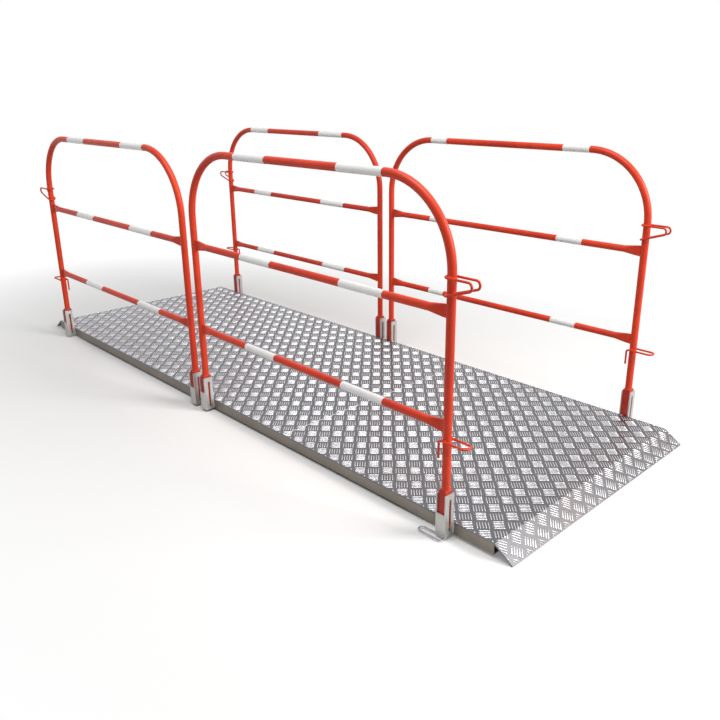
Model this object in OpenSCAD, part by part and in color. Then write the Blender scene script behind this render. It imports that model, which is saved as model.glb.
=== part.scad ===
// Aluminium footbridge with four lift-out tubular guard frames.
// Millimetres. +X runs along the deck, +Z is up, z = 0 is the ground that both ramp tips rest on,
// and x = y = 0 is the middle of the deck. Front is -Y, back is +Y, left is -X, right is +X.

/* [Deck] */
// Width of both tread sheets
deck_w = 1000; // [700:10:1400]
// Length of the left sheet, measured along the metal before its ramp is folded down
long_sheet = 2000; // [1600:10:2400]
// Length of the right sheet, measured the same way
short_sheet = 1000; // [800:10:1600]
// Height of the walking surface above the ground
deck_h = 45; // [42:1:60]
// Thickness of the sheets
sheet_t = 5; // [3:0.5:8]
// Slope of the folded ramps, in degrees
ramp_angle = 34; // [25:1:45]
// Depth worn off the ramps' lower edges, which leaves the strip they rest on
tip_wear = 1; // [0.5:0.1:2]

/* [Side rails and cross members] */
// Gap between the ground and the side rails
rail_gap = 8; // [5:1:12]
// Thickness of a side rail's web and flanges
channel_t = 4; // [3:0.5:5]
// Width of a side rail's flanges
flange_w = 30; // [20:1:45]
// Number of cross members under the deck
cross_count = 5; // [3:1:9]
// Width of a cross member
cross_w = 40; // [25:1:60]
// Height of a cross member
cross_h = 25; // [18:1:25]
// Wall of a cross member
cross_wall = 3; // [2:0.5:4]

/* [Sockets] */
// Width of a socket over both cheek plates
socket_w = 36; // [32:1:50]
// How far a socket stands out from the side rail
socket_d = 36; // [34:1:50]
// Thickness of the socket plates
cheek_t = 4; // [3:0.5:5]
// Height of the cheek plates above the walking surface
cheek_rise = 95; // [85:1:120]
// Height of the outer plate above the walking surface
outer_plate_rise = 33; // [10:1:45]
// Width of the slots in the cheek plates
slot_w = 8.5; // [8:0.1:11]
// Top of the slots above the walking surface
slot_top_rise = 78; // [70:1:82]
// Bottom of the slots above the ground
slot_foot = 21; // [17:1:24]
// Top of the seat that a foot stands on, above the ground
seat_h = 33; // [30:1:36]
// Thickness of the seat
seat_t = 4; // [3:0.5:5]

/* [Guard frames] */
// Distance between the two posts of a guard frame
guard_w = 1226; // [1000:2:1300]
// Distance between the two middle posts on one side
post_gap = 76; // [64:2:100]
// Height of the top rail's centre above the walking surface
top_rise = 947; // [850:1:1100]
// Height of the middle rail's centre above the walking surface
mid_rise = 615; // [560:1:640]
// Height of the low rail's centre above the walking surface
low_rise = 293; // [285:1:330]
// Diameter of the bent tube that makes the posts and top rail
hoop_d = 25; // [22:0.5:30]
// Wall of the bent tube
hoop_wall = 2; // [1.5:0.1:3]
// Bend radius of the top corners, at the tube's centre
corner_r = 235; // [150:5:250]
// Diameter of the middle and low rails
rail_d = 24; // [20:0.5:28]
// Wall of the middle and low rails
rail_wall = 2; // [1.5:0.1:2]
// Length of a rail's end that is pressed flat
flat_len = 24; // [15:1:35]
// Length over which a rail changes from round to flat
taper_len = 50; // [35:1:70]
// Height of a flattened rail end
flat_h = 36; // [32:1:42]
// Thickness of a flattened rail end
flat_t = 5; // [4.5:0.5:7]

/* [Feet and pins] */
// Height of the top of a foot above the walking surface
foot_rise = 105; // [99:1:125]
// Wall of a foot
foot_wall = 3; // [2:0.5:3.5]
// Radius of a foot's top edges
foot_round = 6; // [3:0.5:7]
// Clearance between a foot and each plate beside it
foot_clear = 1; // [0.5:0.1:2]
// Gap under a foot that stands on its seat
seat_clear = 0.3; // [0.2:0.1:0.5]
// Diameter of a foot's guide pin
pin_d = 7; // [6:0.1:7.5]
// Height of the pin's centre above the bottom of the foot
pin_rise = 10; // [8:1:14]

/* [Hooks on the outer posts] */
// Diameter of the hook wire
wire_d = 7; // [5:0.5:8]
// Reach of the hooks beyond the middle of the post
hook_reach = 80; // [60:1:100]
// Height of the upper hook's top wires above the walking surface
upper_hook_rise = 706; // [690:1:760]
// Radius of the upper hook's two turned-down tips
tip_r = 12; // [8:0.5:16]
// Slope of the upper hook's return wires, in degrees
return_slope = 18; // [10:1:25]
// Height of the lower hook above the walking surface
lower_hook_rise = 255; // [200:1:260]
// Length of the lower hook's ends, down the inner side of the post
hook_leg = 46; // [30:1:60]
// Radius where those ends turn down
leg_r = 8; // [5:0.5:10]

/* [Reflective bands] */
// Thickness of the bands
band_t = 0.5; // [0.3:0.1:1]
// Front left guard: start and length of the first band, then of the second, from mid-frame
front_left_spans = [-308, 166, 198, 180]; // [-350:1:350]
// Front right guard, the same way
front_right_spans = [-312, 166, 192, 180]; // [-350:1:350]
// Back left guard, the same way
back_left_spans = [-370, 150, 196, 168]; // [-350:1:350]
// Back right guard, the same way
back_right_spans = [-370, 84, 266, 108]; // [-350:1:350]

/* [Spring clip] */
// Diameter of the clip's wire
clip_wire_d = 4; // [3:0.1:4]
// Distance from the socket's middle to the far end of the clip's loop
clip_len = 62; // [50:1:90]
// Radius of the loop's end
clip_r = 11; // [6:0.5:12]
// How far the clip stands out from the socket's outer plate
clip_out = 15; // [8:1:18]

/* [Hidden] */
$fn = 48;
weld_gap = 0.1;                       // between round or mitred pieces that are welded together
wrap_clear = 0.3;                     // between the posts and the wire wrapped round them
ramp_len = (deck_h + tip_wear - sheet_t * cos(ramp_angle)) / sin(ramp_angle);
flat_half = (long_sheet + short_sheet) / 2 - ramp_len;
seam_x = flat_half + ramp_len - short_sheet;
under_h = deck_h - sheet_t;           // underside of the sheets
fold_x = flat_half - sheet_t * tan(ramp_angle / 2);   // where that underside folds down
cross_len = deck_w - 2 * flange_w - 2 * weld_gap;
socket_y = (deck_w + socket_d) / 2;   // middle of the sockets
post_y = socket_y - cheek_t / 2;      // line of the posts, midway from side rail to outer plate
inner_x = post_gap / 2;
outer_x = inner_x + guard_w;
mid_x = (inner_x + outer_x) / 2;
top_h = deck_h + top_rise;
foot_top = deck_h + foot_rise;
foot_bottom = seat_h + seat_clear;
foot_w = socket_w - 2 * cheek_t - 2 * foot_clear;
foot_d = socket_d - cheek_t - 2 * foot_clear;
pin_h = foot_bottom + pin_rise;
pin_len = socket_w - 1;
wrap_r = hoop_d / 2 + wire_d / 2 + wrap_clear;
wire_sides = 10;                      // facets round the hook wire
clip_h = rail_gap - clip_wire_d / 2 - weld_gap;

GUARDS = ["front_left", "front_right", "back_left", "back_right"];
GUARD_PARTS = ["hoop", "mid_rail", "low_rail", "feet", "pins", "hooks", "bands"];
SOCKETS = ["outer_socket", "inner_socket"];
BRIDGE = ["long_deck_sheet", "short_deck_sheet", "front_side_rail", "back_side_rail",
          "cross_members", "spring_clip"];

// Sides of the bridge that a guard stands on, and its band spans
function side_x(g) = g == "front_left" || g == "back_left" ? -1 : 1;
function side_y(g) = g == "front_left" || g == "front_right" ? -1 : 1;
function spans(g) = g == "front_left" ? front_left_spans
                  : g == "front_right" ? front_right_spans
                  : g == "back_left" ? back_left_spans : back_right_spans;

// ---- Shapes used by several pieces ----

// Turns a shape drawn for the right-hand side, or for the back, to the side that is asked for
module on_side(sx, sy) {
    mirror_if(sx < 0, [1, 0, 0]) mirror_if(sy < 0, [0, 1, 0]) children();
}

module mirror_if(yes, axis) {
    if (yes) mirror(axis) children();
    else children();
}

// A shape drawn around the z axis is laid along +X from the origin
module along_x() {
    rotate([0, 90, 0]) children();
}

module ring(d, wall) {
    difference() {
        circle(d = d);
        circle(d = d - 2 * wall);
    }
}

module box_section(w, h, wall) {
    difference() {
        square([w, h], center = true);
        square([w - 2 * wall, h - 2 * wall], center = true);
    }
}

// Straight wire from the origin along +X
module wire(d, len) {
    along_x() cylinder(d = d, h = len);
}

// Wire bent round the z axis, from +X anticlockwise through the angle
module bent_wire(d, r, angle) {
    rotate_extrude(angle = angle, $fn = 96) translate([r, 0]) circle(d = d);
}

// ---- Deck ----

// Section of the right-hand end of the deck, from start_x to the ramp's tip
module sheet_section(start_x) {
    c = cos(ramp_angle);
    s = sin(ramp_angle);
    tip = [flat_half + ramp_len * c, deck_h - ramp_len * s];
    polygon([
        [start_x, deck_h],
        [flat_half, deck_h],
        tip,
        [tip[0] - tip[1] * s / c, 0],
        [fold_x + under_h * c / s, 0],
        [fold_x, under_h],
        [start_x, under_h]
    ]);
}

module deck_sheet(side) {
    color("silver")
        mirror_if(side < 0, [1, 0, 0])
            rotate([90, 0, 0])
                linear_extrude(deck_w, center = true) sheet_section(side * seam_x);
}

module side_rail(sy) {
    h = under_h - rail_gap;
    color("dimgray")
        on_side(1, sy)
            translate([-fold_x, 0, 0])
                rotate([90, 0, 90])
                    linear_extrude(2 * fold_x)
                        translate([deck_w / 2 - flange_w, rail_gap])
                            difference() {
                                square([flange_w, h]);
                                translate([-1, channel_t])
                                    square([flange_w - channel_t + 1, h - 2 * channel_t]);
                            }
}

module cross_members() {
    pitch = 2 * flat_half / (cross_count + 1);
    color("gray")
        for (i = [1 : cross_count])
            translate([i * pitch - flat_half, 0, under_h - cross_h / 2])
                rotate([90, 0, 0])
                    linear_extrude(cross_len, center = true)
                        box_section(cross_w, cross_h, cross_wall);
}

// ---- Sockets ----

// Two slotted cheek plates, joined by an outer plate and by the seat that a foot stands on
module socket(sx, sy, x) {
    inside = socket_w - 2 * cheek_t;
    color("gainsboro")
        on_side(sx, sy)
            translate([x, socket_y, 0])
                difference() {
                    union() {
                        for (side = [-1, 1])
                            translate([side * (socket_w - cheek_t) / 2, 0, rail_gap])
                                cheek_plate();
                        translate([-inside / 2, socket_d / 2 - cheek_t, rail_gap])
                            cube([inside, cheek_t, deck_h + outer_plate_rise - rail_gap]);
                        translate([-inside / 2, -socket_d / 2, seat_h - seat_t])
                            cube([inside, socket_d - cheek_t, seat_t]);
                    }
                    slots();
                }
}

module cheek_plate() {
    translate([-cheek_t / 2, -socket_d / 2, 0])
        cube([cheek_t, socket_d, deck_h + cheek_rise - rail_gap]);
}

// A round-ended slot through both cheek plates
module slots() {
    low = slot_foot + slot_w / 2;
    high = deck_h + slot_top_rise - slot_w / 2;
    for (side = [-1, 1])
        translate([side * (socket_w - cheek_t) / 2 - cheek_t, post_y - socket_y, 0]) {
            for (z = [low, high]) translate([0, 0, z]) along_x() cylinder(d = slot_w, h = 2 * cheek_t);
            translate([0, -slot_w / 2, low]) cube([2 * cheek_t, slot_w, high - low]);
        }
}

// ---- Guard frames ----

// Places a shape on both of a guard's posts
module at_posts() {
    for (x = [inner_x, outer_x]) translate([x, post_y, 0]) children();
}

// Both posts and the top rail in one bent tube
module hoop(g) {
    color("orangered")
        on_side(side_x(g), side_y(g))
            translate([mid_x, post_y, 0])
                for (side = [-1, 1]) mirror_if(side < 0, [1, 0, 0]) half_hoop();
}

module half_hoop() {
    bend_h = top_h - corner_r;
    bend_x = guard_w / 2 - corner_r;
    translate([guard_w / 2, 0, foot_top]) linear_extrude(bend_h - foot_top) ring(hoop_d, hoop_wall);
    translate([bend_x, 0, bend_h])
        rotate([90, 0, 0])
            rotate_extrude(angle = 90, $fn = 96) translate([corner_r, 0]) ring(hoop_d, hoop_wall);
    translate([0, 0, top_h]) along_x() linear_extrude(bend_x) ring(hoop_d, hoop_wall);
}

// A round rail whose ends are pressed flat and cut to the posts
module cross_rail(g, rise) {
    color("orangered")
        on_side(side_x(g), side_y(g))
            translate([mid_x, post_y, deck_h + rise])
                difference() {
                    for (side = [-1, 1]) mirror_if(side < 0, [1, 0, 0]) half_rail();
                    for (side = [-1, 1])
                        translate([side * guard_w / 2, 0, -flat_h])
                            cylinder(d = hoop_d + 2 * weld_gap, h = 2 * flat_h);
                }
}

module half_rail() {
    round_len = guard_w / 2 - flat_len - taper_len;
    slit = flat_t - 2 * rail_wall;
    along_x() linear_extrude(round_len) ring(rail_d, rail_wall);
    translate([round_len, 0, 0])
        difference() {
            rail_taper(rail_d, flat_h, flat_t);
            rail_taper(rail_d - 2 * rail_wall, flat_h - 2 * rail_wall, slit);
        }
    translate([round_len + taper_len, 0, 0])
        difference() {
            translate([0, -flat_t / 2, -flat_h / 2]) cube([flat_len, flat_t, flat_h]);
            translate([-1, -slit / 2, rail_wall - flat_h / 2])
                cube([flat_len + 2, slit, flat_h - 2 * rail_wall]);
        }
}

// Blends a round end at the origin into an upright flat end at taper_len
module rail_taper(d, h, t) {
    slice = 0.01;
    hull() {
        along_x() cylinder(d = d, h = slice, $fn = 32);
        translate([taper_len - slice, -t / 2, -h / 2]) cube([slice, t, h]);
    }
}

// Two hollow feet, open below and closed at the top, where the tube stands
module feet(g) {
    color("firebrick")
        on_side(side_x(g), side_y(g))
            at_posts()
                difference() {
                    rounded_block(foot_w, foot_d, foot_bottom, foot_top);
                    translate([0, 0, (foot_bottom + foot_top) / 2 - foot_wall])
                        cube([foot_w - 2 * foot_wall, foot_d - 2 * foot_wall,
                              foot_top - foot_bottom], center = true);
                    translate([-foot_w, 0, pin_h])
                        along_x() cylinder(d = pin_d + 2 * weld_gap, h = 2 * foot_w);
                }
}

// A block whose upper edges are rounded on all four sides
module rounded_block(w, d, low, high) {
    intersection() {
        rotate([90, 0, 0]) linear_extrude(d, center = true) arched_outline(w, low, high);
        rotate([90, 0, 90]) linear_extrude(w, center = true) arched_outline(d, low, high);
    }
}

module arched_outline(w, low, high) {
    translate([-w / 2, low]) square([w, high - low - foot_round]);
    translate([foot_round - w / 2, low]) square([w - 2 * foot_round, high - low]);
    for (x = [foot_round - w / 2, w / 2 - foot_round])
        translate([x, high - foot_round]) circle(r = foot_round);
}

module pins(g) {
    color("firebrick")
        on_side(side_x(g), side_y(g))
            at_posts()
                translate([-pin_len / 2, 0, pin_h]) along_x() cylinder(d = pin_d, h = pin_len);
}

module bands(g) {
    s = spans(g);
    color("whitesmoke")
        for (rail = [[top_rise, hoop_d], [mid_rise, rail_d], [low_rise, rail_d]], i = [0, 2])
            translate([side_x(g) * mid_x + s[i], side_y(g) * (post_y), deck_h + rail[0]])
                along_x() linear_extrude(s[i + 1]) ring(rail[1] + 2 * (band_t + weld_gap), band_t);
}

// ---- Hooks on the outer posts ----

module hooks(g) {
    color("orangered")
        on_side(side_x(g), side_y(g))
            translate([outer_x, post_y, deck_h]) {
                translate([0, 0, upper_hook_rise]) upper_hook();
                translate([0, 0, lower_hook_rise]) lower_hook();
            }
}

// A closed loop of wire: round the inner side of the post, out past both sides of it,
// down round the two tips, and back on a slope to a second turn round the post
module upper_hook() {
    run = hook_reach - tip_r - wire_d / 2;
    c = cos(return_slope);
    s = sin(return_slope);
    slope_end = [run + tip_r * s, -tip_r * (1 + c)];
    low_z = slope_end[1] - slope_end[0] * s / c;
    both_sides() wire_solid([
        for (a = [0 : 18 : 90]) [-wrap_r * cos(a), wrap_r * sin(a), 0],
        for (a = [0 : (180 - return_slope) / 8 : 180.01 - return_slope])
            [run + tip_r * sin(a), wrap_r, tip_r * (cos(a) - 1)],
        for (a = [90 : -18 : 0]) [-wrap_r * cos(a), wrap_r * sin(a), low_z - wrap_r * cos(a) * s / c]
    ]);
}

// A level loop round the outer side, whose two ends turn down the inner side of the post
module lower_hook() {
    run = hook_reach - wrap_r - wire_d / 2;
    bend_x = -wrap_r / 2;
    both_sides() wire_solid([
        for (a = [0 : 18 : 90]) [run + wrap_r * cos(a), wrap_r * sin(a), 0],
        for (a = [0 : 18 : 90]) [bend_x - leg_r * sin(a), wrap_r, leg_r * (cos(a) - 1)],
        [bend_x - leg_r, wrap_r, -leg_r - hook_leg]
    ]);
}

module both_sides() {
    children();
    mirror([0, 1, 0]) children();
}

// Round wire along a path that starts square to the y = 0 plane
module wire_solid(path) {
    last = len(path) - 1;
    tangents = [for (i = [0 : last])
        i == 0 ? [0, 1, 0]
        : i == last ? end_tangent(path[last] - path[last - 1])
        : unit(unit(path[i + 1] - path[i]) + unit(path[i] - path[i - 1]))];
    normals = carried_normals(tangents);
    polyhedron(
        points = [for (i = [0 : last], k = [0 : wire_sides - 1])
            let (a = 360 * k / wire_sides, n = normals[i], b = cross(tangents[i], n))
            path[i] + wire_d / 2 * (cos(a) * n + sin(a) * b)],
        faces = [
            [for (k = [wire_sides - 1 : -1 : 0]) last * wire_sides + k],
            [for (k = [0 : wire_sides - 1]) k],
            for (i = [0 : last - 1], k = [0 : wire_sides - 1])
                let (j = (k + 1) % wire_sides, low = i * wire_sides, high = low + wire_sides)
                [low + k, high + k, high + j, low + j]
        ]);
}

function unit(v) = v / norm(v);

// A path ends either straight across the y = 0 plane or straight down
function end_tangent(v) = abs(v[2]) > abs(v[1]) ? unit(v) : [0, -1, 0];

// Normals carried along the path with no twist, from straight up at its start
function carried_normals(tangents, i = 0, n = [0, 0, 1]) =
    let (m = unit(n - (n * tangents[i]) * tangents[i]))
    i == len(tangents) - 1 ? [m] : [m, each carried_normals(tangents, i + 1, m)];

// ---- Spring clip ----

// A wire loop that hangs under the front right outer socket and lies along the ground.
// Its ends rise inside the two cheek plates.
module spring_clip() {
    d = clip_wire_d;
    turn_r = 1.5 * d;
    inside_x = socket_w / 2 - cheek_t;
    end_x = inside_x - d / 2 - weld_gap;
    rise = (seat_h - seat_t - rail_gap) / 2;
    front_y = -socket_d / 2 - clip_out;
    back_y = front_y + 2 * clip_r;
    side_y = 0;
    color("lightgray")
        translate([outer_x, -socket_y, clip_h]) {
            // End of the loop
            translate([-clip_len, front_y + clip_r, 0]) rotate([0, 0, 90]) bent_wire(d, clip_r, 180);
            // Return leg, which turns up inside the left cheek
            translate([-clip_len, back_y, 0]) wire(d, clip_len - inside_x);
            translate([-inside_x, back_y, turn_r])
                rotate([90, 0, 0]) rotate([0, 0, -90]) bent_wire(d, turn_r, 90);
            translate([turn_r - inside_x, back_y, turn_r]) cylinder(d = d, h = rise);
            // Front leg, which turns in under the socket and up inside the right cheek
            translate([-clip_len, front_y, 0]) wire(d, clip_len + end_x - turn_r);
            translate([end_x - turn_r, front_y + turn_r, 0])
                rotate([0, 0, -90]) bent_wire(d, turn_r, 90);
            translate([end_x, front_y + turn_r, 0])
                rotate([0, 0, 90]) wire(d, side_y - front_y - 2 * turn_r);
            translate([end_x, side_y - turn_r, turn_r])
                rotate([90, 0, 90]) rotate([0, 0, -90]) bent_wire(d, turn_r, 90);
            translate([end_x, side_y, turn_r]) cylinder(d = d, h = rise);
        }
}

// ---- Nodes ----

deck_sheet(-1);  // long_deck_sheet
deck_sheet(1);  // short_deck_sheet
side_rail(-1);  // front_side_rail
side_rail(1);  // back_side_rail
cross_members();
spring_clip();
for (g = GUARDS) {
    socket(side_x(g), side_y(g), outer_x);
    socket(side_x(g), side_y(g), inner_x);
    hoop(g);
    cross_rail(g, mid_rise);
    cross_rail(g, low_rise);
    feet(g);
    pins(g);
    hooks(g);
    bands(g);
}
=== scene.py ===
"""Looks of the aluminium footbridge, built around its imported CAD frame. Everything is in metres."""

import math

import bmesh
import bpy
import numpy as np
from mathutils import Euler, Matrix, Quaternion, Vector


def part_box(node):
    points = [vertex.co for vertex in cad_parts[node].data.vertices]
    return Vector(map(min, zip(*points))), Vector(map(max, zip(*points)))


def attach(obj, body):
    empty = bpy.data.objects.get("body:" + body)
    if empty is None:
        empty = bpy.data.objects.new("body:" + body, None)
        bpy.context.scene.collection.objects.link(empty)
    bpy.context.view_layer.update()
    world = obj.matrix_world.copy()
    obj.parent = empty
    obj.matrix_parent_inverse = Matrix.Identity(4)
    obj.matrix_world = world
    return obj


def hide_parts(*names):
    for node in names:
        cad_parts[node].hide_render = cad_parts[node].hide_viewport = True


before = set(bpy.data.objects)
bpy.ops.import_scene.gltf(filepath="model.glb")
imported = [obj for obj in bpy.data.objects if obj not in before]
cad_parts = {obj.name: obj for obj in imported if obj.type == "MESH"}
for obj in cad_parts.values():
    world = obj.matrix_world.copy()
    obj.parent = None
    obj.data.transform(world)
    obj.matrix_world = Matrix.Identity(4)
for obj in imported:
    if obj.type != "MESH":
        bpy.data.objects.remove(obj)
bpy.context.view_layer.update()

MM = 0.001

# ---- Places and sizes, taken from the CAD frame ----

GUARDS = ["front_left", "front_right", "back_left", "back_right"]
BRIDGE = "bridge"

SHEET_T = 5 * MM                       # thickness of the deck sheets
RAMP_ANGLE = math.radians(34)          # slope of the folded ramps
deck_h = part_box("long_deck_sheet")[1].z
deck_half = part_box("long_deck_sheet")[1].y
seam_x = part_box("short_deck_sheet")[0].x
tip_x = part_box("short_deck_sheet")[1].x
fold_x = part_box("front_side_rail")[1].x + SHEET_T * math.tan(RAMP_ANGLE / 2)
ramp_len = (tip_x - fold_x) / math.cos(RAMP_ANGLE)

# Five-bar tread pattern
TREAD_PITCH = 62.5 * MM                # from one group of bars to the next like it, along x and y
TREAD_PHASE = (6 * MM, 15 * MM)        # place of one group's middle
BARS_PER_GROUP = 5
BAR_PITCH = 8.1 * MM
BAR_LENGTH = 35 * MM
BAR_WIDTH = 4.8 * MM
BAR_HEIGHT = 1.8 * MM
BAR_SINK = 0.4 * MM                    # how far a bar's foot reaches into the sheet
BAR_TOP = 0.32                         # width of a bar's flat top, as a share of its foot
BAR_SHOULDER = (0.72, 0.8)             # where a bar starts to narrow, as shares of its half sizes
EDGE_MARGIN = 0.6 * MM                 # strip beside the cut edges and the seam that has no bars
TIP_MARGIN = 1.5 * MM                  # the same at the ramps' lower edges

# Hooks on the outer posts
WIRE_D = 7 * MM
WRAP_CLEAR = 0.3 * MM                  # between a post and the wire round it
TIP_R = 12 * MM                        # radius of the upper hook's turned-down tips
RETURN_SLOPE = math.radians(18)        # slope of the upper hook's return wires
HOOK_LEG = 46 * MM                     # straight ends of the lower hook
LEG_R = 8 * MM                         # radius where those ends turn down
WIRE_SIDES = 20
WIRE_CHAMFER = 0.8 * MM                # at the lower hook's cut ends
STRAIGHT_STEPS = 4                     # pieces that a straight run of wire is drawn in

# Weld beads
BEAD_R = 2.2 * MM
BEAD_SIDES = 8
BEAD_END = 0.3                         # radius at an open bead's ends, as a share of the bead's
RIPPLE = 1.8 * MM                      # distance between the ripples of a bead
RIPPLE_DEPTH = 0.1                     # how far the radius swings to each side, as a share of it
RING_STEPS = 24                        # points of a bead round a post
SEAM_WELD_W = 3 * MM
SEAM_WELD_FLAT = 0.6                   # the seam weld's height, as a share of a round bead's
RAIL_END_T = 5 * MM                    # thickness of a rail's pressed end
RAIL_BEAD_OUT = 0.1 * MM               # from a post's surface to the middle of a rail's bead
FOOT_BEAD_R = 1.2 * MM
HOOK_BEAD_R = 1.8 * MM
HOOK_BEAD_LENGTH = 14 * MM
HOOK_BEAD_OUT = 0.4 * MM               # from a post's surface to the middle of a hook's bead
HOOK_BEAD_SHIFT = 0.45 * WIRE_D        # from the middle of the wire to the bead over or under it
SOCKET_BEAD_OUT = 0.6 * MM             # from the side rail's face to the middle of a bead
SOCKET_BEAD_LOW = 3 * MM               # from the rail's lower edge to a bead's lower end
SOCKET_BEAD_HIGH = 2 * MM              # from the deck to its upper end

# Paint worn by the sockets, as heights over the deck
SCRAPED_TO = 20 * MM
CLEAN_FROM = 90 * MM

# Studio
FILL_LIGHT = 0.24                      # the world's strength for rays that aren't seen
FLOOR_HALF = 40
FLOOR_DROP = 0.5 * MM                  # gap between the floor and the object


# ---- Meshes ----

def new_piece(name, verts, faces, material, body):
    """A mesh object that rides on a CAD body."""
    mesh = bpy.data.meshes.new(name)
    mesh.from_pydata([tuple(v) for v in verts], [], faces)
    return finish_piece(name, mesh, material, body)


def finish_piece(name, mesh, material, body):
    """Shades a mesh smooth, gives it its material and puts it on its body."""
    mesh.validate()
    mesh.polygons.foreach_set("use_smooth", [True] * len(mesh.polygons))
    mesh.materials.append(material)
    piece = bpy.data.objects.new(name, mesh)
    bpy.context.scene.collection.objects.link(piece)
    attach(piece, body)
    return piece


def join_parts(parts):
    """One list of vertices and faces from several."""
    verts, faces = [], []
    for part_verts, part_faces in parts:
        start = len(verts)
        verts.extend(part_verts)
        faces.extend([tuple(start + i for i in face) for face in part_faces])
    return verts, faces


def sweep(path, radii, sides, closed=False):
    """A round tube along a path, with a radius at each point and flat caps unless it is closed."""
    count = len(path)
    points = [Vector(p) for p in path]
    tangents = []
    for i in range(count):
        ahead = points[(i + 1) % count] if closed or i < count - 1 else points[i]
        behind = points[i - 1] if closed or i > 0 else points[i]
        tangents.append((ahead - behind).normalized())
    start = Vector((0, 0, 1)) if abs(tangents[0].z) < 0.9 else Vector((1, 0, 0))
    normal = (start - start.dot(tangents[0]) * tangents[0]).normalized()
    normals = [normal]
    for before, after in zip(tangents, tangents[1:]):
        normal = before.rotation_difference(after) @ normal
        normals.append(normal.normalized())
    twist = 0.0
    if closed:
        arrived = tangents[-1].rotation_difference(tangents[0]) @ normals[-1]
        across = tangents[0].cross(normals[0])
        twist = -math.atan2(arrived.dot(across), arrived.dot(normals[0]))
    verts = []
    for i, (point, tangent, normal) in enumerate(zip(points, tangents, normals)):
        across = tangent.cross(normal)
        turn = twist * i / count
        for k in range(sides):
            a = 2 * math.pi * k / sides + turn
            verts.append(point + radii[i] * (math.cos(a) * normal + math.sin(a) * across))
    faces = []
    for i in range(count if closed else count - 1):
        low, high = i * sides, ((i + 1) % count) * sides
        for k in range(sides):
            j = (k + 1) % sides
            faces.append((low + k, low + j, high + j, high + k))
    if not closed:
        faces.append(tuple(reversed(range(sides))))
        faces.append(tuple((count - 1) * sides + k for k in range(sides)))
    return verts, faces


def bead(path, closed=False, radius=BEAD_R):
    """A rippled weld bead along a path."""
    points = resample([Vector(p) for p in path], RIPPLE / 4, closed)
    swing = [RIPPLE_DEPTH * math.cos(math.pi * i / 2) for i in range(len(points))]
    radii = [radius * (1 - RIPPLE_DEPTH + s) for s in swing]
    if not closed:
        radii[0] = radii[-1] = radius * BEAD_END
    return sweep(points, radii, BEAD_SIDES, closed)


def resample(points, step, closed):
    """Points evenly spaced along a polyline."""
    ring = points + points[:1] if closed else points
    lengths = [(b - a).length for a, b in zip(ring, ring[1:])]
    count = max(4, round(sum(lengths) / step))
    marks = np.linspace(0, sum(lengths), count, endpoint=not closed)
    along = np.concatenate([[0], np.cumsum(lengths)])
    ring = np.array([tuple(p) for p in ring])
    return [Vector([np.interp(m, along, ring[:, axis]) for axis in range(3)]) for m in marks]


# ---- Materials ----

class Look:
    """A Principled material and a few shorthands for its node tree."""

    def __init__(self, name):
        self.material = bpy.data.materials.new(name)
        self.material.use_nodes = True
        self.tree = self.material.node_tree
        self.shader = self.tree.nodes["Principled BSDF"]
        self.place = self.add("ShaderNodeTexCoord").outputs["Object"]

    def add(self, kind, settings=None, **inputs):
        node = self.tree.nodes.new(kind)
        for key, value in (settings or {}).items():
            setattr(node, key, value)
        for key, value in inputs.items():
            self.feed(node.inputs[key.replace("_", " ")], value)
        return node

    def feed(self, socket, value):
        if isinstance(value, bpy.types.NodeSocket):
            self.tree.links.new(value, socket)
        else:
            socket.default_value = value

    def stretched(self, x, y, z):
        """Object coordinates multiplied along each axis, for streaks."""
        return self.add("ShaderNodeMapping", Vector=self.place, Scale=(x, y, z)).outputs["Vector"]

    def noise(self, scale, detail=3.0, rough=0.5, vector=None, low=0.0, high=1.0):
        """Noise stretched so that low to high of it fills 0 to 1."""
        made = self.add("ShaderNodeTexNoise", Vector=vector or self.place, Scale=scale,
                        Detail=detail, Roughness=rough)
        return self.span(made.outputs["Fac"], low, high, 0.0, 1.0)

    def span(self, value, low, high, to_low, to_high):
        node = self.add("ShaderNodeMapRange", Value=value, From_Min=low, From_Max=high,
                        To_Min=to_low, To_Max=to_high)
        return node.outputs["Result"]

    def mix(self, factor, first, second):
        node = self.add("ShaderNodeMix", {"data_type": "RGBA"})
        self.feed(node.inputs[0], factor)
        self.feed(node.inputs[6], rgba(first))
        self.feed(node.inputs[7], rgba(second))
        return node.outputs[2]

    def math(self, operation, first, second):
        node = self.add("ShaderNodeMath", {"operation": operation, "use_clamp": True})
        self.feed(node.inputs[0], first)
        self.feed(node.inputs[1], second)
        return node.outputs[0]

    def height(self, axis):
        """One coordinate of the surface point, in metres."""
        split = self.add("ShaderNodeSeparateXYZ", Vector=self.place)
        return split.outputs[axis]

    def bump(self, height, distance, strength=1.0, under=None):
        node = self.add("ShaderNodeBump", Height=height, Distance=distance, Strength=strength)
        if under is not None:
            self.feed(node.inputs["Normal"], under)
        return node.outputs["Normal"]

    def finish(self, **inputs):
        for key, value in inputs.items():
            self.feed(self.shader.inputs[key.replace("_", " ")], value)
        return self.material


def rgba(colour):
    """A colour with its alpha; a socket is passed on as it is."""
    return (*colour, 1.0) if isinstance(colour, tuple) and len(colour) == 3 else colour


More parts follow.
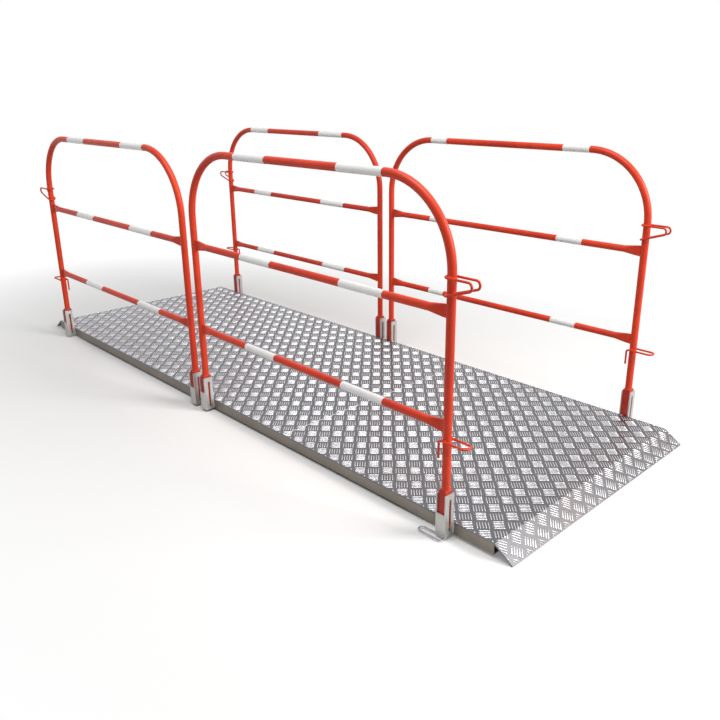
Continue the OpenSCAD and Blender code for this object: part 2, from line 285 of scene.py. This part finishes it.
def red_paint():
    """Satin orange-red paint over steel tube, with small chips, faint dirt and orange peel."""
    look = Look("red_paint")
    cloudy = look.noise(5, 3, low=0.35, high=0.65)
    fine = look.noise(90, 4, 0.6, low=0.35, high=0.65)
    colour = look.mix(cloudy, (0.66, 0.036, 0.008), (0.78, 0.052, 0.011))
    grime = look.math("MULTIPLY", look.noise(28, 6, 0.65, low=0.50, high=0.72), 0.35)
    colour = look.mix(grime, colour, (0.38, 0.024, 0.010))
    chips = look.noise(150, 5, 0.62, low=0.735, high=0.75)
    colour = look.mix(chips, colour, (0.30, 0.27, 0.25))
    peel = look.bump(look.noise(420, 2), 0.12 * MM, 0.5)
    normal = look.bump(chips, -0.15 * MM, 1.0, peel)
    return look.finish(Base_Color=colour, Roughness=look.span(fine, 0, 1, 0.36, 0.48),
                       Normal=normal, Specular_IOR_Level=0.35)


def worn_paint_with_painted_shade():
    """The same paint on feet and pins that slide in the sockets: darker all over as painted shade
    inside the sockets, and scraped by wear.
    """
    look = Look("worn_paint_with_painted_shade")
    cloudy = look.noise(14, 4, low=0.35, high=0.65)
    # These two darker reds are painted shade for the feet and pins inside the sockets; the scraped
    # streaks below are real wear.
    colour = look.mix(cloudy, (0.42, 0.020, 0.010), (0.58, 0.032, 0.010))
    streaks = look.noise(60, 5, 0.6, look.stretched(1, 1, 0.08), 0.62, 0.68)
    low_down = look.span(look.height("Z"), deck_h + SCRAPED_TO, deck_h + CLEAN_FROM, 1.0, 0.1)
    scraped = look.math("MULTIPLY", streaks, low_down)
    colour = look.mix(scraped, colour, (0.36, 0.30, 0.27))
    normal = look.bump(scraped, -0.12 * MM, 1.0, look.bump(look.noise(380, 2), 0.12 * MM, 0.5))
    return look.finish(Base_Color=colour, Roughness=look.span(cloudy, 0, 1, 0.36, 0.5),
                       Normal=normal, Specular_IOR_Level=0.35)


def reflective_tape():
    """White reflective tape with its fine cell pattern, a little scuffed."""
    look = Look("reflective_tape")
    cells = look.add("ShaderNodeTexVoronoi", {"feature": "DISTANCE_TO_EDGE"},
                     Vector=look.place, Scale=330.0).outputs["Distance"]
    net = look.span(cells, 0.02, 0.09, 0.0, 1.0)
    scuffs = look.noise(45, 6, 0.7, low=0.56, high=0.72)
    colour = look.mix(net, (0.80, 0.80, 0.80), (0.93, 0.93, 0.92))
    colour = look.mix(look.math("MULTIPLY", scuffs, 0.4), colour, (0.55, 0.53, 0.51))
    return look.finish(Base_Color=colour, Roughness=look.span(scuffs, 0, 1, 0.28, 0.55),
                       Normal=look.bump(net, 0.08 * MM, 0.5), Metallic=0.15, Coat_Weight=0.3,
                       Coat_Roughness=0.1)


def rolled_aluminium(name, dull, bright, rough, metal=1.0, relief=0.5, streak=(0.05, 1, 1)):
    """Mill-finish aluminium: rolling streaks, cloudy oxide, fine scratches and a few stains. On the
    tread sheet and the side rails, the dull and bright colours are painted shade and painted
    reflection.
    """
    look = Look(name)
    rolling = look.noise(260, 4, 0.6, look.stretched(*streak), 0.3, 0.7)
    cloudy = look.noise(3.2, 5, 0.6, low=0.3, high=0.7)
    blotches = look.noise(17, 6, 0.65, low=0.52, high=0.75)
    colour = look.mix(cloudy, dull, bright)
    colour = look.mix(look.math("MULTIPLY", rolling, 0.25), colour, bright)
    colour = look.mix(look.math("MULTIPLY", blotches, 0.3), colour, tuple(0.6 * c for c in dull))
    scratches = look.noise(70, 2, 0.4, look.stretched(0.12, 1.4, 1), 0.66, 0.70)
    roughness = look.span(rolling, 0, 1, rough - 0.06, rough + 0.08)
    normal = look.bump(scratches, -0.05 * MM, relief, look.bump(rolling, 0.03 * MM, relief))
    return look.finish(Base_Color=colour, Metallic=metal, Roughness=roughness, Normal=normal)


def galvanised_wire():
    """Zinc-coated spring wire with a faint spangle."""
    look = Look("galvanised_wire")
    spangle = look.add("ShaderNodeTexVoronoi", Vector=look.place, Scale=140.0).outputs["Color"]
    grey = look.add("ShaderNodeRGBToBW", Color=spangle).outputs["Val"]
    colour = look.mix(grey, (0.20, 0.21, 0.23), (0.38, 0.39, 0.41))
    return look.finish(Base_Color=colour, Metallic=1.0,
                       Roughness=look.span(grey, 0, 1, 0.28, 0.42),
                       Normal=look.bump(look.noise(500, 2), 0.05 * MM, 0.5))


def studio_floor():
    """Pale floor that keeps the object's shadow, and turns into plain white further out."""
    look = Look("studio_floor")
    seen = seen_rays(look.tree)
    pale = look.mix(look.noise(1.5, 3), (0.92, 0.92, 0.92), (0.94, 0.94, 0.94))
    colour = look.mix(seen, (0.55, 0.55, 0.55), pale)
    distance = look.add("ShaderNodeVectorMath", {"operation": "LENGTH"})
    look.feed(distance.inputs[0], look.stretched(0.6, 1, 1))
    far = look.span(distance.outputs["Value"], 0.8, 1.8, 0.0, 1.0)
    white = look.add("ShaderNodeEmission", Color=rgba((1, 1, 1)), Strength=1.0)
    mixed = look.add("ShaderNodeMixShader")
    look.feed(mixed.inputs[0], look.math("MULTIPLY", far, seen))
    look.feed(mixed.inputs[1], look.shader.outputs["BSDF"])
    look.feed(mixed.inputs[2], white.outputs["Emission"])
    look.feed(look.tree.nodes["Material Output"].inputs["Surface"], mixed.outputs[0])
    return look.finish(Base_Color=colour, Roughness=0.9, Specular_IOR_Level=0.1)


def seen_rays(tree):
    """1 for what the camera sees straight, in a reflection or through glass, and 0 for the rest."""
    paths = tree.nodes.new("ShaderNodeLightPath")
    seen = paths.outputs["Is Camera Ray"]
    for kind in ("Is Glossy Ray", "Is Transmission Ray"):
        either = tree.nodes.new("ShaderNodeMath")
        either.operation = "MAXIMUM"
        tree.links.new(seen, either.inputs[0])
        tree.links.new(paths.outputs[kind], either.inputs[1])
        seen = either.outputs[0]
    return seen


PAINT = red_paint()
WORN_PAINT_WITH_PAINTED_SHADE = worn_paint_with_painted_shade()
TAPE = reflective_tape()
# The sheet is the same aluminium as the bars, given a dark base as painted shade, with a pinkish and
# a bluish tone as painted reflections of the surroundings.
SHEET_WITH_PAINTED_SHADE = rolled_aluminium("tread_sheet_metal_painted_shade", (0.200, 0.182, 0.182), (0.160, 0.168, 0.186), 0.38)
BARS = rolled_aluminium("tread_bar_metal", (0.66, 0.65, 0.67), (0.80, 0.80, 0.83), 0.27,
                        relief=0.06)
# The side rails' dark brownish base is painted shade with a painted reflection of the ground, over
# plain aluminium.
PLAIN_WITH_PAINTED_SHADE = rolled_aluminium("side_rail_metal_painted_shade", (0.19, 0.165, 0.140), (0.29, 0.26, 0.225), 0.42,
                         metal=0.75)
PLATES = rolled_aluminium("socket_metal", (0.44, 0.43, 0.41), (0.62, 0.61, 0.59), 0.42,
                          metal=0.6, streak=(1, 1, 0.05))
WELD = rolled_aluminium("weld_metal", (0.46, 0.46, 0.47), (0.66, 0.66, 0.67), 0.34)
WIRE = galvanised_wire()


def dress_nodes():
    """Gives every CAD node its material."""
    for name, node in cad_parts.items():
        node.data.materials.clear()
        node.data.materials.append(node_material(name))


def node_material(name):
    """The material of a CAD node, which follows from its name."""
    if name.endswith("_deck_sheet"):
        return SHEET_WITH_PAINTED_SHADE
    if name.endswith("_side_rail") or name == "cross_members":
        return PLAIN_WITH_PAINTED_SHADE
    if name.endswith("_socket"):
        return PLATES
    if name == "spring_clip":
        return WIRE
    if name.endswith("_bands"):
        return TAPE
    if name.endswith(("_feet", "_pins")):
        return WORN_PAINT_WITH_PAINTED_SHADE
    return PAINT


# ---- Tread bars ----

def tread_bars(name, start, end):
    """The bars of one sheet: drawn flat from start to end along x, cut at its edges and folded."""
    verts, faces = bar_shape()
    shape = np.array(verts)
    flat, all_faces = [], []
    for centre, angle in bar_places(start, end):
        c, s = math.cos(angle), math.sin(angle)
        turn = np.array([[c, s, 0], [-s, c, 0], [0, 0, 1]])
        offset = len(flat) * len(verts)
        flat.append(shape @ turn + np.array([*centre, 0]))
        all_faces.extend([tuple(offset + i for i in face) for face in faces])
    mesh = bpy.data.meshes.new(name)
    mesh.from_pydata(np.concatenate(flat).tolist(), [], all_faces)
    cut_and_fold(mesh, start, end)
    return finish_piece(name, mesh, BARS, BRIDGE)


def bar_shape():
    """One bar along x: a foot and a narrower top, both pointed at the ends, closed all round."""
    along, across = BAR_SHOULDER
    outline = [(-1, 0), (-along, -across), (0, -1), (along, -across),
               (1, 0), (along, across), (0, 1), (-along, across)]
    half_l, half_w = BAR_LENGTH / 2, BAR_WIDTH / 2
    taper = half_w * (1 - BAR_TOP)
    foot = [(x * half_l, y * half_w, -BAR_SINK) for x, y in outline]
    top = [(x * (half_l - taper), y * half_w * BAR_TOP, BAR_HEIGHT) for x, y in outline]
    n = len(outline)
    sides = [(k, (k + 1) % n, n + (k + 1) % n, n + k) for k in range(n)]
    return foot + top, sides + [tuple(reversed(range(n))), tuple(range(n, 2 * n))]


def bar_places(start, end):
    """Middle and direction of each bar: groups lean one way and, half a pitch on, the other way."""
    reach = BAR_LENGTH
    for half in (0, 1):
        angle = math.radians(45 if half == 0 else 135)
        across = Vector((-math.sin(angle), math.cos(angle)))
        shift = half * TREAD_PITCH / 2
        for x in grid(start - reach, end + reach, TREAD_PHASE[0] + shift):
            for y in grid(-deck_half - reach, deck_half + reach, TREAD_PHASE[1] + shift):
                for k in range(BARS_PER_GROUP):
                    side = (k - (BARS_PER_GROUP - 1) / 2) * BAR_PITCH
                    yield (x + side * across.x, y + side * across.y), angle


def grid(low, high, phase):
    """Multiples of the tread pitch between two limits, shifted by a phase."""
    first = math.ceil((low - phase) / TREAD_PITCH)
    last = math.floor((high - phase) / TREAD_PITCH)
    return [phase + i * TREAD_PITCH for i in range(first, last + 1)]


def cut_and_fold(mesh, start, end):
    """Cuts bars flush at the sheet's edges, then lays them on the deck and down the ramps."""
    bm = bmesh.new()
    bm.from_mesh(mesh)
    edge = deck_half - EDGE_MARGIN
    left = start + (TIP_MARGIN if start < -fold_x else EDGE_MARGIN)
    right = end - (TIP_MARGIN if end > fold_x else EDGE_MARGIN)
    limits = [((left, 0, 0), (-1, 0, 0)), ((right, 0, 0), (1, 0, 0)),
              ((0, -edge, 0), (0, -1, 0)), ((0, edge, 0), (0, 1, 0))]
    for point, outward in limits:
        everything = bm.verts[:] + bm.edges[:] + bm.faces[:]
        made = bmesh.ops.bisect_plane(bm, geom=everything, plane_co=point, plane_no=outward,
                                      clear_outer=True)
        rim = [e for e in made["geom_cut"] if isinstance(e, bmesh.types.BMEdge)]
        bmesh.ops.holes_fill(bm, edges=rim, sides=0)
    for fold in (-fold_x, fold_x):
        everything = bm.verts[:] + bm.edges[:] + bm.faces[:]
        bmesh.ops.bisect_plane(bm, geom=everything, plane_co=(fold, 0, 0), plane_no=(1, 0, 0))
    for vert in bm.verts:
        vert.co = folded(vert.co)
    bm.to_mesh(mesh)
    bm.free()


def folded(flat):
    """Where a point of the flat sheet goes: z is its height above the walking surface."""
    beyond = abs(flat.x) - fold_x
    if beyond <= 0:
        return Vector((flat.x, flat.y, deck_h + flat.z))
    c, s = math.cos(RAMP_ANGLE), math.sin(RAMP_ANGLE)
    x = fold_x + beyond * c + flat.z * s
    return Vector((math.copysign(x, flat.x), flat.y, deck_h - beyond * s + flat.z * c))


def seam_weld():
    """The low, rippled weld between the two sheets."""
    end_y = deck_half - SEAM_WELD_W
    verts, faces = bead([(seam_x, -end_y, deck_h), (seam_x, end_y, deck_h)], radius=SEAM_WELD_W / 2)
    flat = [Vector((v.x, v.y, deck_h + SEAM_WELD_FLAT * (v.z - deck_h))) for v in verts]
    new_piece("sheet_seam_weld", flat, faces, WELD, BRIDGE)


# ---- Guard frames ----

def guard_places(guard):
    """Outward direction along x, post radius, y of the posts, x of the outer and inner post."""
    low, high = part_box(guard + "_hoop")
    side_x = 1 if low.x + high.x > 0 else -1
    radius = (high.y - low.y) / 2
    ends = sorted([low.x + radius, high.x - radius], key=abs)
    return side_x, radius, (low.y + high.y) / 2, ends[1], ends[0]


def arc(centre, first, second, start, stop, steps=12):
    """Points of an arc: centre + cos * first + sin * second, angles in degrees."""
    centre, first, second = Vector(centre), Vector(first), Vector(second)
    angles = [math.radians(start + (stop - start) * i / steps) for i in range(steps + 1)]
    return [centre + math.cos(a) * first + math.sin(a) * second for a in angles]


def hook_wires(guard):
    """The two bent-wire hooks of a guard's outer post, smooth and in one piece."""
    side_x, radius, post_y, outer_x, _ = guard_places(guard)
    low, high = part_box(guard + "_hooks")
    reach = max(abs(low.x), abs(high.x)) - abs(outer_x)
    wrap = radius + WIRE_D / 2 + WRAP_CLEAR
    upper = upper_hook(reach, wrap)
    lower = lower_hook(reach, wrap)
    upper_z = high.z - WIRE_D / 2
    lower_z = low.z + LEG_R + HOOK_LEG
    parts = []
    for path, z, closed in [(upper, upper_z, True), (lower, lower_z, False)]:
        placed = [Vector((outer_x + side_x * p.x, post_y + p.y, z + p.z)) for p in path]
        radii = [WIRE_D / 2] * len(placed)
        if not closed:
            placed, radii = rounded_ends(placed, radii)
        parts.append(sweep(placed, radii, WIRE_SIDES, closed))
    verts, faces = join_parts(parts)
    piece = new_piece(guard + "_hook_wires", verts, faces, PAINT, guard + "_guard")
    outward_faces(piece)
    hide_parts(guard + "_hooks")


def upper_hook(reach, wrap):
    """Half a turn behind the post, out past it, down round the tips, and back on a slope."""
    run = reach - TIP_R - WIRE_D / 2
    c, s = math.cos(RETURN_SLOPE), math.sin(RETURN_SLOPE)
    low_z = -TIP_R * (1 + c) - (run + TIP_R * s) * s / c
    turn = 180 - math.degrees(RETURN_SLOPE)
    half = arc((0, 0, 0), (-wrap, 0, 0), (0, wrap, 0), 0, 90)
    half += straight(half[-1], (run, wrap, 0))
    half += arc((run, wrap, -TIP_R), (0, 0, TIP_R), (TIP_R, 0, 0), 0, turn, steps=16)
    back = arc((0, 0, low_z), (-wrap, 0, -wrap * s / c), (0, wrap, 0), 90, 0)
    half += straight(half[-1], back[0]) + back
    return half + [Vector((p.x, -p.y, p.z)) for p in reversed(half[1:-1])]


def lower_hook(reach, wrap):
    """A level loop round the post's outer side, whose two ends turn down behind it."""
    run = reach - wrap - WIRE_D / 2
    bend_x = -wrap / 2
    half = arc((run, 0, 0), (wrap, 0, 0), (0, wrap, 0), 0, 90)
    half += straight(half[-1], (bend_x, wrap, 0))
    half += arc((bend_x, wrap, -LEG_R), (0, 0, LEG_R), (-LEG_R, 0, 0), 0, 90)
    half += straight(half[-1], (bend_x - LEG_R, wrap, -LEG_R - HOOK_LEG))
    half.append(Vector((bend_x - LEG_R, wrap, -LEG_R - HOOK_LEG)))
    return [Vector((p.x, -p.y, p.z)) for p in reversed(half[1:])] + half


def straight(start, end):
    """Points between two points, without those two."""
    start, end = Vector(start), Vector(end)
    return [start.lerp(end, i / STRAIGHT_STEPS) for i in range(1, STRAIGHT_STEPS)]


def rounded_ends(path, radii):
    """A wire's path and radii with a small chamfer at each cut end."""
    first, last = path[0], path[-1]
    inner_first = first + (path[1] - first).normalized() * WIRE_CHAMFER
    inner_last = last + (path[-2] - last).normalized() * WIRE_CHAMFER
    chamfered = [radii[0] - WIRE_CHAMFER, *radii, radii[-1] - WIRE_CHAMFER]
    return [first, inner_first, *path[1:-1], inner_last, last], chamfered


def outward_faces(piece):
    """Makes all faces of a closed mesh point outwards."""
    bm = bmesh.new()
    bm.from_mesh(piece.data)
    bmesh.ops.recalc_face_normals(bm, faces=bm.faces[:])
    bm.to_mesh(piece.data)
    bm.free()


def guard_welds(guard):
    """Painted weld beads where rails, feet and hooks meet the posts."""
    side_x, radius, post_y, outer_x, inner_x = guard_places(guard)
    parts = []
    for rail in ("_mid_rail", "_low_rail"):
        low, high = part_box(guard + rail)
        near, far = post_y - RAIL_END_T / 2, post_y + RAIL_END_T / 2
        for post_x, inward in [(outer_x, -side_x), (inner_x, side_x)]:
            x = post_x + inward * (radius + RAIL_BEAD_OUT)
            ring = [(x, near, low.z), (x, near, high.z), (x, far, high.z), (x, far, low.z)]
            parts.append(bead(ring, closed=True))
    foot_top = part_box(guard + "_feet")[1].z
    last_angle = 360 - 360 / RING_STEPS
    for post_x in (outer_x, inner_x):
        centre = (post_x, post_y, foot_top)
        ring = arc(centre, (radius, 0, 0), (0, radius, 0), 0, last_angle, steps=RING_STEPS - 1)
        parts.append(bead(ring, closed=True, radius=FOOT_BEAD_R))
    low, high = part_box(guard + "_hooks")
    start, end = outer_x - HOOK_BEAD_LENGTH / 2, outer_x + HOOK_BEAD_LENGTH / 2
    for wire_z in (high.z - WIRE_D / 2, low.z + LEG_R + HOOK_LEG):
        for side_y in (-1, 1):
            y = post_y + side_y * (radius + HOOK_BEAD_OUT)
            for z in (wire_z - HOOK_BEAD_SHIFT, wire_z + HOOK_BEAD_SHIFT):
                parts.append(bead([(start, y, z), (end, y, z)], radius=HOOK_BEAD_R))
    verts, faces = join_parts(parts)
    piece = new_piece(guard + "_welds", verts, faces, PAINT, guard + "_guard")
    outward_faces(piece)


# ---- Sockets ----

def socket_welds():
    """Upright beads that hold each socket to its side rail."""
    parts = []
    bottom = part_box("front_side_rail")[0].z + SOCKET_BEAD_LOW
    top = deck_h - SOCKET_BEAD_HIGH
    for guard in GUARDS:
        for place in ("_outer_socket", "_inner_socket"):
            low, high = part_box(guard + place)
            side_y = 1 if low.y > 0 else -1
            y = side_y * (deck_half + SOCKET_BEAD_OUT)
            for x in (low.x, high.x):
                parts.append(bead([(x, y, bottom), (x, y, top)]))
    verts, faces = join_parts(parts)
    piece = new_piece("socket_welds", verts, faces, WELD, BRIDGE)
    outward_faces(piece)


# ---- Studio ----

def make_camera():
    """The viewing angle: from the right front, a little above the guards' top rails."""
    data = bpy.data.cameras.new("camera")
    data.sensor_width = 36
    data.lens = 36.8
    data.shift_x = -0.018
    data.shift_y = -0.026
    camera = bpy.data.objects.new("camera", data)
    bpy.context.scene.collection.objects.link(camera)
    heading, elevation, roll = math.radians(45.98), math.radians(18.88), math.radians(-0.34)
    level = Euler((math.pi / 2 - elevation, 0, heading)).to_quaternion()
    camera.rotation_mode = "QUATERNION"
    camera.rotation_quaternion = level @ Quaternion((0, 0, 1), roll)
    camera.location = (2.415, -1.905, 1.196)
    bpy.context.scene.camera = camera


def soft_light(name, place, aim, size, watts, colour=(1, 1, 1)):
    """A rectangular lamp that faces a point."""
    data = bpy.data.lights.new(name, "AREA")
    data.shape = "RECTANGLE"
    data.size, data.size_y = size
    data.energy = watts
    data.color = colour
    light = bpy.data.objects.new(name, data)
    bpy.context.scene.collection.objects.link(light)
    light.location = place
    light.rotation_mode = "QUATERNION"
    light.rotation_quaternion = (Vector(aim) - Vector(place)).to_track_quat("-Z", "Y")


def make_world():
    """White to the camera and in reflections, and an even fill for everything else."""
    world = bpy.data.worlds.new("studio")
    bpy.context.scene.world = world
    world.use_nodes = True
    tree = world.node_tree
    background = tree.nodes["Background"]
    strength = tree.nodes.new("ShaderNodeMapRange")
    strength.inputs["To Min"].default_value = FILL_LIGHT
    strength.inputs["To Max"].default_value = 1.0
    tree.links.new(seen_rays(tree), strength.inputs["Value"])
    tree.links.new(strength.outputs["Result"], background.inputs["Strength"])
    background.inputs["Color"].default_value = (1, 1, 1, 1)


def make_floor():
    """A large flat floor just below the object, which is part of the studio only."""
    half, z = FLOOR_HALF, -FLOOR_DROP
    mesh = bpy.data.meshes.new("floor")
    mesh.from_pydata([(-half, -half, z), (half, -half, z), (half, half, z), (-half, half, z)],
                     [], [(0, 1, 2, 3)])
    mesh.materials.append(studio_floor())
    floor = bpy.data.objects.new("floor", mesh)
    bpy.context.scene.collection.objects.link(floor)


def make_studio():
    """World, floor and two soft lamps: one overhead, and a warmer one from the right."""
    make_world()
    make_floor()
    soft_light("overhead", place=(0.9, -0.8, 3.5), aim=(0.2, 0, 0), size=(2.4, 1.6), watts=70)
    soft_light("sun_side", place=(4.1, 1.5, 2.6), aim=(0.3, 0, 0.4), size=(1.9, 1.9), watts=175,
               colour=(1.0, 0.97, 0.93))
    bpy.context.scene.view_settings.view_transform = "Standard"


# ---- The whole scene ----

make_camera()
make_studio()
dress_nodes()
tread_bars("long_sheet_tread_bars", -fold_x - ramp_len, seam_x)
tread_bars("short_sheet_tread_bars", seam_x, fold_x + ramp_len)
seam_weld()
socket_welds()
for guard_name in GUARDS:
    hook_wires(guard_name)
    guard_welds(guard_name)
